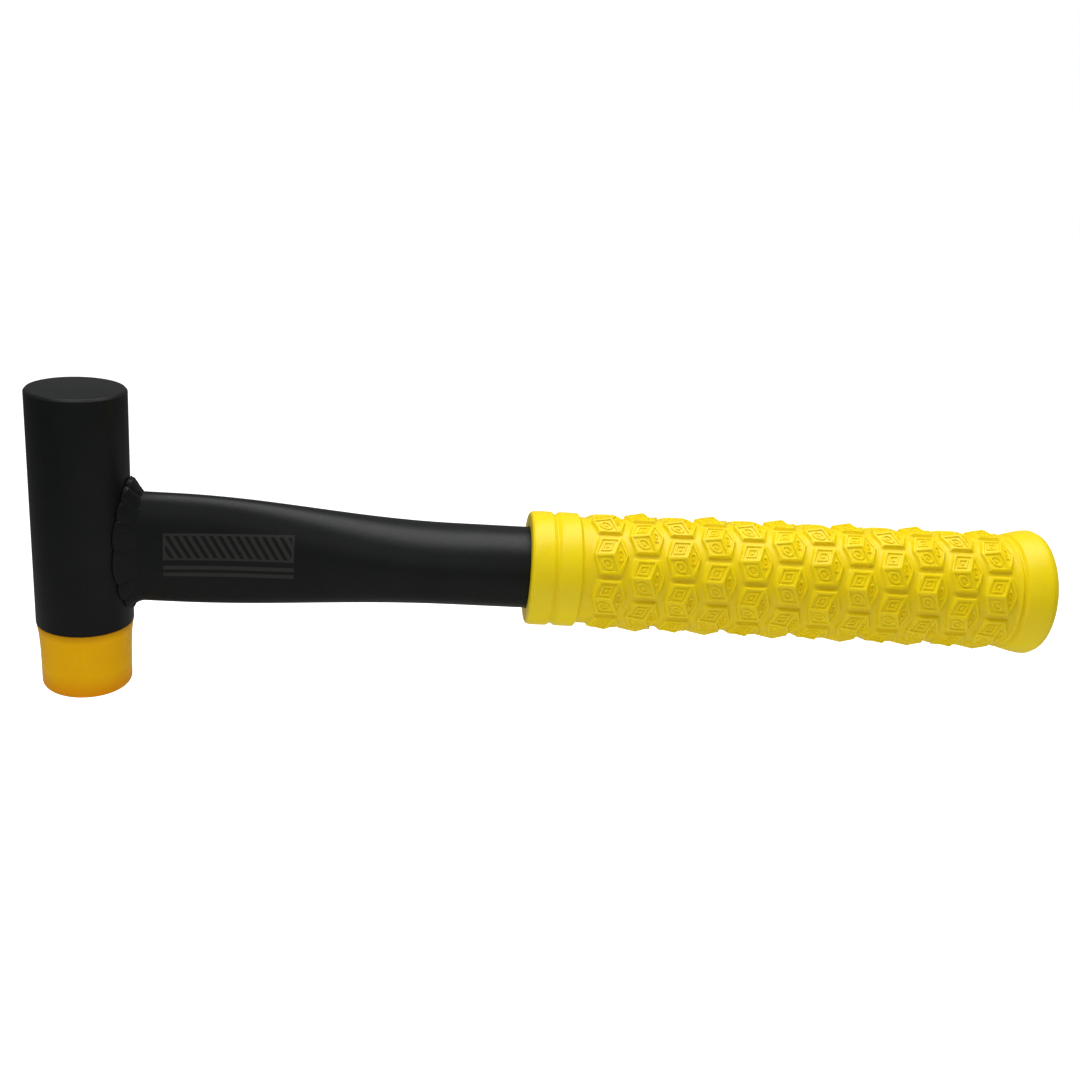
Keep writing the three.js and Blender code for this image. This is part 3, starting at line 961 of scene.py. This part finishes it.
def soft_tip(finish):
    """Cast plastic tip: flush with the bar at the joint, drawn in a little below, round-edged."""
    top = JOINT_Z - TIP_GAP
    pocket = stud_high.y + MOULDED_CLEARANCE
    pocket_top = STUD_HEAD_TOP_Z + MOULDED_CLEARANCE
    pocket_floor = stud_low.z - MOULDED_CLEARANCE
    passage = STUD_RADIUS + MOULDED_CLEARANCE
    climb = top - TIP_TOP_EDGE - TIP_WALL_FROM_Z
    wall = []
    for k in range(TIP_WALL_STEPS):
        z = TIP_WALL_FROM_Z + climb * k / (TIP_WALL_STEPS - 1)
        flare = TIP_FLARE * math.exp((z - JOINT_Z) / TIP_FLARE_LENGTH)
        wall.append((TIP_WAIST_RADIUS + flare, z, 0))
    below = [(0, 0, 0), (TIP_WAIST_RADIUS, 0, TIP_EDGE)]
    above = [
        (wall[-1][0] - 0.04 * MM, top, 0.12 * MM),
        (passage, top, 0.4 * MM),
        (passage, pocket_top, 0),
        (pocket, pocket_top, 0),
        (pocket, pocket_floor, 0),
        (0, pocket_floor, 0),
    ]

    def pocket_shape(radius, angle):
        return hexagon_reach(pocket, angle) if abs(radius - pocket) < 1e-6 else radius

    piece = turned(rounded(below + wall + above, 10), ROUND_SEGMENTS, "amber_tip", pocket_shape)
    finish_piece(piece, 45, "tip", "soft_tip", finish)


def tip_stud(thread, finish):
    """Hexagon-headed stud with a cut thread above its head."""
    half_flats = stud_high.y
    profile = rounded([
        (0, stud_low.z, 0),
        (half_flats, stud_low.z, 0.4 * MM),
        (half_flats, STUD_HEAD_TOP_Z, 0.4 * MM),
        (STUD_RADIUS, STUD_HEAD_TOP_Z, 0.3 * MM),
        (STUD_RADIUS, stud_high.z - STUD_CHAMFER, 0),
        (STUD_RADIUS - STUD_CHAMFER, stud_high.z, 0.2 * MM),
        (0, stud_high.z, 0),
    ])

    def head_shape(radius, angle):
        in_head = radius > STUD_RADIUS + 0.5 * MM
        return radius * hexagon_reach(1, angle) if in_head else radius

    profile = finely(profile, STUD_RADIUS, STUD_STEP)
    blank = turned(profile, SLIM_SEGMENTS, "threaded_stud", head_shape)
    sizes = {
        "From Z": STUD_HEAD_TOP_Z + 2 * MM,
        "To Z": stud_high.z + THREAD_PITCH,
        "Finish": finish,
    }
    piece = grown(blank, thread, sizes, "threaded_stud")
    finish_piece(piece, 35, "tip", "tip_stud")


def lock_washer(finish):
    """Split spring washer, closed flat: a softened square section swept nearly once round."""
    inner = STUD_RADIUS + WASHER_CLEARANCE
    outer = washer_high.y
    low = washer_low.z + WASHER_LIFT
    high = washer_high.z - WASHER_LIFT
    section = rounded([
        (inner, low, 0),
        (outer, low, WASHER_SOFT),
        (outer, high, WASHER_SOFT),
        (inner, high, WASHER_SOFT),
        (inner, low, 0),
    ], 3)[:-1]
    count = len(section)
    last = WASHER_STEPS * count
    points = []
    faces = [tuple(range(count)), tuple(range(last, last + count))]
    for k in range(WASHER_STEPS + 1):
        share = k / WASHER_STEPS
        angle = WASHER_SPLIT + (2 * math.pi - 2 * WASHER_SPLIT) * share
        rise = WASHER_LIFT * (2 * share - 1)
        for radius, height in section:
            points.append((radius * math.cos(angle), radius * math.sin(angle), height + rise))
        if k < WASHER_STEPS:
            faces += band(k * count, (k + 1) * count, count)
    piece = skin(points, faces, "split_washer")
    finish_piece(piece, 40, "washer", "lock_washer", finish)


# ==== Grip ====
def field_radius(x):
    """Radius of the valley floor between the bosses."""
    share = (x - FIELD_START_X) / (FIELD_END_X - FIELD_START_X)
    return FIELD_START_RADIUS + (FIELD_END_RADIUS - FIELD_START_RADIUS) * share


def bent(along, angle, height):
    """A point of the unrolled field, on a cylinder: (along, sideways, outwards)."""
    radius = MEAN_FIELD_RADIUS + height
    return np.array([along, radius * math.sin(angle), radius * math.cos(angle)])


def unrolled(point):
    """The same point unrolled again: (along, angle, height)."""
    height = math.hypot(point[1], point[2]) - MEAN_FIELD_RADIUS
    return np.array([point[0], math.atan2(point[1], point[2]), height])


def round_mark(angle):
    """The reach of a plain ring, as a share of its radius."""
    return 1.0


def square_mark(angle):
    """The reach of a plain square."""
    return 0.86 / max(abs(math.cos(angle)), abs(math.sin(angle)))


def lobed_mark(angle):
    """The reach of a ring with four lobes."""
    return 0.86 + 0.16 * math.cos(4 * angle)


def loop_points(corners):
    """Points round a closed outline, with each side cut into equal steps."""
    points = []
    for here, there in zip(corners, corners[1:] + corners[:1]):
        for k in range(EDGE_STEPS):
            points.append(here + (there - here) * k / EDGE_STEPS)
    return points


def six_corners(tip, flat, angle):
    """The (along, angle) corners of a hexagon with points fore and aft, from the rear point."""
    return [(-tip, 0), (-flat, -angle), (flat, -angle), (tip, 0), (flat, angle), (-flat, angle)]


def cube_cell():
    """One cell of the unrolled field: (along, angle, height) points and faces."""
    outline = six_corners(BOSS_HALF_LENGTH, BOSS_FLAT_HALF, BOSS_HALF_ANGLE)
    corners = [bent(along, angle, BOSS_RIM) for along, angle in outline]
    left, lower_left, lower_right, right, upper_right, upper_left = corners
    peak = bent(PEAK_SHIFT, 0, BOSS_PEAK)
    points = []
    faces = []
    add_cube_face(points, faces, (peak, upper_right, upper_left, left), square_mark)
    add_cube_face(points, faces, (peak, left, lower_left, lower_right), round_mark)
    add_cube_face(points, faces, (peak, lower_right, right, upper_right), lobed_mark)
    outline = six_corners(CELL_HALF_LENGTH, CELL_FLAT_HALF, CELL_HALF_ANGLE)
    edge = loop_points([np.array([along, angle, 0.0]) for along, angle in outline])
    rim = [unrolled(p) for p in loop_points(corners)]
    count = len(rim)
    low = len(points)
    points.extend(rim)
    for share, height in WALL_LOOPS:
        for inner, outer in zip(rim, edge):
            point = inner + (outer - inner) * share
            point[2] = height
            points.append(point)
        faces += band(low, low + count, count)
        low += count
    return points, faces


def add_cube_face(points, faces, corners, mark):
    """Adds one framed cube face with its plain mark in the middle."""
    first, second, third, fourth = corners
    normal = unit(np.cross(third - first, fourth - second))
    if normal[2] < 0:
        normal = -normal

    def at(u, v, height):
        near = (1 - u) * (1 - v) * first + u * (1 - v) * second
        return unrolled(near + u * v * third + (1 - u) * v * fourth + normal * height)

    square = loop_points([np.array(c) for c in ((0.0, 0.0), (1.0, 0.0), (1.0, 1.0), (0.0, 1.0))])
    low = len(points)
    count = len(square)
    for ring, (kind, size, height) in enumerate(FACE_LOOPS):
        for u, v in square:
            if kind == "frame":
                u, v = size + (1 - 2 * size) * u, size + (1 - 2 * size) * v
            else:
                angle = math.atan2(v - 0.5, u - 0.5)
                reach = size * mark(angle)
                u, v = 0.5 + reach * math.cos(angle), 0.5 + reach * math.sin(angle)
            points.append(at(u, v, height))
        if ring:
            faces += band(low, low + count, count)
            low += count
    points.append(at(0.5, 0.5, height))
    faces += fan(low, count, len(points) - 1)


def field_tree():
    """Lays a cell out in staggered columns, then rolls the field round the handle."""
    tree, given = new_tree("cube_field", {
        "Columns": BOSS_COLUMNS,
        "Around": BOSSES_ROUND,
        "First X": BOSS_FIRST_X,
        "Pitch X": BOSS_PITCH_X,
        "Phase": BOSS_PHASE,
        "Start X": FIELD_START_X,
        "End X": FIELD_END_X,
        "Start Radius": FIELD_START_RADIUS,
        "End Radius": FIELD_END_RADIUS,
        "Axis Height": HANDLE_Z,
    })
    around = given["Around"]
    index = result(tree, "GeometryNodeInputIndex")
    column = maths("FLOOR", index / around)
    row = index - column * around
    stagger = (1.0 - maths("MODULO", column, 2.0)) * 0.5
    angle = (row + stagger) * (2 * math.pi / around) + given["Phase"]
    along = given["First X"] + column * given["Pitch X"]
    wires = {"Count": given["Columns"] * around, "Position": joined(tree, along, angle, 0.0)}
    wires = {"Points": result(tree, "GeometryNodePoints", wires), "Instance": given["Geometry"]}
    copies = result(tree, "GeometryNodeInstanceOnPoints", wires)
    flat = result(tree, "GeometryNodeRealizeInstances", {0: copies})
    x, turn, height = parts(result(tree, "GeometryNodeInputPosition"))
    run = (x - given["Start X"]) / (given["End X"] - given["Start X"])
    growth = given["End Radius"] - given["Start Radius"]
    radius = given["Start Radius"] + run * growth + height
    y = radius * maths("COSINE", turn) * -1.0
    z = radius * maths("SINE", turn) + given["Axis Height"]
    rolled = moved(flat, Position=joined(tree, x, y, z))
    wires = {"Geometry": rolled, "Distance": SAME_POINT}
    close_tree(result(tree, "GeometryNodeMergeByDistance", wires), given["Finish"])
    return tree


def around_grip(x, angle, radius):
    """A point at an angle round the handle's axis."""
    return (x, -radius * math.cos(angle), HANDLE_Z + radius * math.sin(angle))


def grip_end(column, side, profile, points, faces):
    """Adds the turned end of the grip, from the field's jagged edge to the last profile point."""
    count = 2 * BOSSES_ROUND * EDGE_STEPS
    stagger = CELL_HALF_ANGLE if column % 2 == 0 else 0.0
    angles = [BOSS_PHASE + stagger + k * (CELL_HALF_ANGLE / EDGE_STEPS) for k in range(count)]
    centre = BOSS_FIRST_X + column * BOSS_PITCH_X
    low = len(points)
    for k, angle in enumerate(angles):
        off_point = k % (2 * EDGE_STEPS) / EDGE_STEPS
        off_point = min(off_point, 2 - off_point)
        reach = CELL_HALF_LENGTH + (CELL_FLAT_HALF - CELL_HALF_LENGTH) * off_point
        x = centre + side * reach
        points.append(around_grip(x, angle, field_radius(x)))
    for radius, x in profile[:-1]:
        points.extend(around_grip(x, angle, radius) for angle in angles)
        faces += band(low, low + count, count)
        low += count
    points.append(around_grip(profile[-1][1], 0, 0))
    faces += fan(low, count, len(points) - 1)


def rubber_grip(finish):
    """Moulded grip in one closed skin: collar rings, cube field, neck and flared butt."""
    cell = placed(mesh_from(*cube_cell(), "cube_cell"), "cube_cell")
    field = grown(cell, field_tree(), {"Finish": finish}, "cube_field")
    bore = TUBE_RADIUS + GRIP_BORE_CLEARANCE
    bore_end = plug_high.x + GRIP_PLUG_GAP
    front = rounded(millimetres(
        (16.62, 151.7, 0),
        (16.62, 150.6, 0.5),
        (17.8, 149.8, 0.5),
        (17.85, 146.0, 3),
        (17.8, 144.0, 1.3),
        (16.9, 142.7, 0.45),
        (17.8, 141.5, 1.0),
        (17.85, 138.5, 3),
    ) + [
        (17.7 * MM, GRIP_START_X, 1.3 * MM),
        (bore, GRIP_START_X, 0.5 * MM),
        (bore, bore_end, 0),
        (0, bore_end, 0),
    ])
    butt = rounded(millimetres(
        (17.5, 288.15, 0),
        (18.3, 288.9, 0.4),
        (18.3, 289.4, 0.3),
        (17.45, 290.2, 0.4),
        (18.75, 291.1, 0.7),
        (19.6, 294.5, 6),
    ) + [
        (FLARE_RADIUS, 297.2 * MM, 5 * MM),
        (FLARE_RADIUS, GRIP_END_X - 2.5 * MM, 0.9 * MM),
        (19.3 * MM, GRIP_END_X - 0.7 * MM, 1.2 * MM),
        (17.4 * MM, GRIP_END_X, 1.5 * MM),
        (14.4 * MM, GRIP_END_X, 0.3 * MM),
        (13.9 * MM, GRIP_END_X - BUTT_DISH, 0.3 * MM),
        (0, GRIP_END_X - BUTT_DISH, 0),
    ])
    points = []
    faces = []
    grip_end(0, -1, front, points, faces)
    grip_end(BOSS_COLUMNS - 1, 1, butt, points, faces)
    first = len(points)
    points.extend(tuple(v.co) for v in field.data.vertices)
    faces.extend(tuple(first + i for i in p.vertices) for p in field.data.polygons)
    bpy.data.objects.remove(field)
    piece = skin(points, faces, "rubber_grip", SAME_POINT)
    finish_piece(piece, 38, "head_and_handle", "grip_sleeve", finish)


# ==== Plug in the butt end of the tube ====
def tube_end_plug(finish):
    """Barbed plug with a flange over the tube's edge."""
    bore = TUBE_RADIUS - TUBE_WALL
    core = bore - PLUG_CORE_INSET
    start = plug_low.x
    flange = plug_high.x - PLUG_FLANGE
    pitch = (flange - start - 2 * MM) / PLUG_BARBS
    corners = [(0, start, 0), (bore - 1.3 * MM, start, 0.4 * MM)]
    for k in range(PLUG_BARBS):
        foot = start + PLUG_LEAD_IN + k * pitch
        corners += [
            (core, foot, 0),
            (bore - PLUG_BARB_INSET, foot + BARB_SLOPE_SHARE * pitch, 0.15 * MM),
            (core, foot + BARB_BACK_SHARE * pitch, 0),
        ]
    corners += [
        (core, flange, 0),
        (TUBE_RADIUS, flange, 0.2 * MM),
        (TUBE_RADIUS, plug_high.x, 0.5 * MM),
        (0, plug_high.x, 0),
    ]
    piece = turned(rounded(corners, 3), SLIM_SEGMENTS, "barbed_plug")
    lay_down = Matrix.Translation((0, 0, HANDLE_Z)) @ Matrix.Rotation(math.pi / 2, 4, "Y")
    piece.data.transform(lay_down)
    finish_piece(piece, 40, "head_and_handle", "tube_end_plug", finish)


# ==== Stage, light and camera ====
def floor():
    """A wide flat floor under the tip's lowest reach."""
    half = FLOOR_HALF
    corners = [(-half, -half, 0), (half, -half, 0), (half, half, 0), (-half, half, 0)]
    mesh = mesh_from(corners, [(0, 1, 2, 3)], "paper_floor")
    mesh.transform(Matrix.Translation((0, 0, FLOOR_Z)))
    piece = placed(mesh, "paper_floor")
    piece.data.materials.append(pale_floor("pale_paper"))


def soft_light(name, size, power, place):
    """A rectangular soft box that faces the handle."""
    light = bpy.data.lights.new(name, "AREA")
    light.shape = "RECTANGLE"
    light.size, light.size_y = size
    light.energy = power
    holder = placed(light, name)
    holder.location = place
    aim = Vector(LIT_POINT) - Vector(place)
    holder.rotation_euler = aim.to_track_quat("-Z", "Y").to_euler()


def studio():
    """White surroundings for the eye, dimmer ones for the light, and two soft boxes."""
    world = bpy.data.worlds.new("studio")
    bpy.context.scene.world = world
    world.use_nodes = True
    tree = world.node_tree
    tree.nodes.clear()
    white = (1, 1, 1, 1)
    strength = ROOM_LIGHT - ray_is(tree, "Glossy") * ROOM_MIRROR_LOSS
    seen = result(tree, "ShaderNodeBackground", {"Color": white, "Strength": 1.0})
    lit = result(tree, "ShaderNodeBackground", {"Color": white, "Strength": strength})
    both = result(tree, "ShaderNodeMixShader", {0: ray_is(tree, "Camera"), 1: lit, 2: seen})
    add_node(tree, "ShaderNodeOutputWorld", {"Surface": both})
    for name, size, power, place in SOFT_BOXES:
        soft_light(name, size, power, place)


def camera():
    """The camera, aimed by its three angles."""
    data = bpy.data.cameras.new("camera")
    data.sensor_width = CAMERA_SENSOR
    data.lens = CAMERA_LENS
    data.clip_start = CAMERA_NEAREST
    holder = placed(data, "camera")
    level = math.cos(CAMERA_ELEVATION)
    back = Vector((
        math.sin(CAMERA_AZIMUTH) * level,
        -math.cos(CAMERA_AZIMUTH) * level,
        math.sin(CAMERA_ELEVATION),
    ))
    right = Vector((math.cos(CAMERA_AZIMUTH), math.sin(CAMERA_AZIMUTH), 0))
    up = back.cross(right)
    side = math.cos(CAMERA_ROLL) * right + math.sin(CAMERA_ROLL) * up
    top = -math.sin(CAMERA_ROLL) * right + math.cos(CAMERA_ROLL) * up
    turn = Matrix((side, top, back)).transposed().to_4x4()
    holder.matrix_world = Matrix.Translation(CAMERA_PLACE) @ turn
    bpy.context.scene.camera = holder


# ==== Build ====
bpy.context.scene.view_settings.view_transform = "Standard"
thread = thread_tree()
zinc = plated_steel("zinc_plated_steel")
steel_head(thread, black_coating("black_coated_head"))
handle_tube(black_coating("black_coated_tube", etched=True))
weld_bead(ripple_tree(), black_coating("black_coated_weld"))
soft_tip(amber_plastic("amber_cast_plastic"))
tip_stud(thread, zinc)
lock_washer(zinc)
rubber_grip(yellow_rubber("yellow_moulded_rubber"))
tube_end_plug(grey_plastic("grey_moulded_plastic"))
floor()
studio()
camera()
